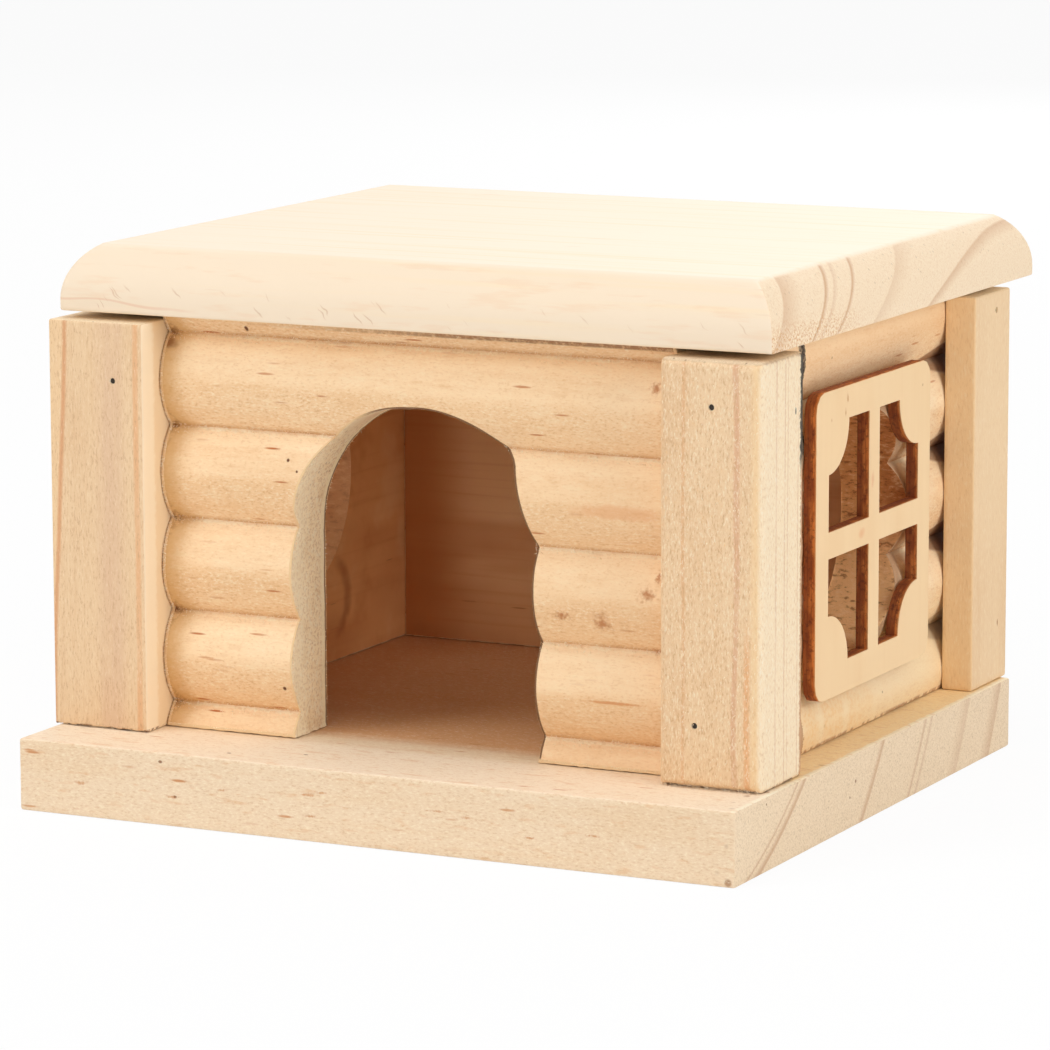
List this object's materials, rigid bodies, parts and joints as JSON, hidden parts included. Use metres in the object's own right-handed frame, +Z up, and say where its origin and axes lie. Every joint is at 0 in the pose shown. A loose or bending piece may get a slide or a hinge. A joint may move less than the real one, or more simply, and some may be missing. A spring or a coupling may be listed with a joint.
{
  "type": "wooden hamster house",
  "caption": "Small wooden pet house with log-faced walls, an arched door, plywood window frames over round holes, corner posts and a flat moulded roof that lifts off.",
  "frame": {"origin": "centre of the floor board, on its underside", "axes": "+X to the right seen from the door, +Y to the back, +Z up; the door faces -Y"},
  "size_m": [0.1608, 0.1581, 0.1145],
  "materials": {
    "pine": "planed, unfinished",
    "plywood": "sanded, laser-cut edges",
    "steel": "dull"
  },
  "bodies": {
    "house": {"floor_board": "pine", "front_wall": "pine", "back_wall": "pine", "left_wall": "pine", "right_wall": "pine", "front_left_post": "pine", "front_right_post": "pine", "rear_left_post": "pine", "rear_right_post": "pine", "left_window_frame": "plywood", "right_window_frame": "plywood", "front_post_nails": "steel", "side_post_nails": "steel", "rear_post_nails": "steel", "floor_nails": "steel"},
    "roof": {"roof_board": "pine", "left_roof_batten": "pine", "right_roof_batten": "pine", "batten_nails": "steel"}
  },
  "joints": [
    {"name": "roof_lift", "type": "slide", "parent": "house", "child": "roof", "axis": [0, 0, 1], "range_m": [0, 0.12]}
  ]
}
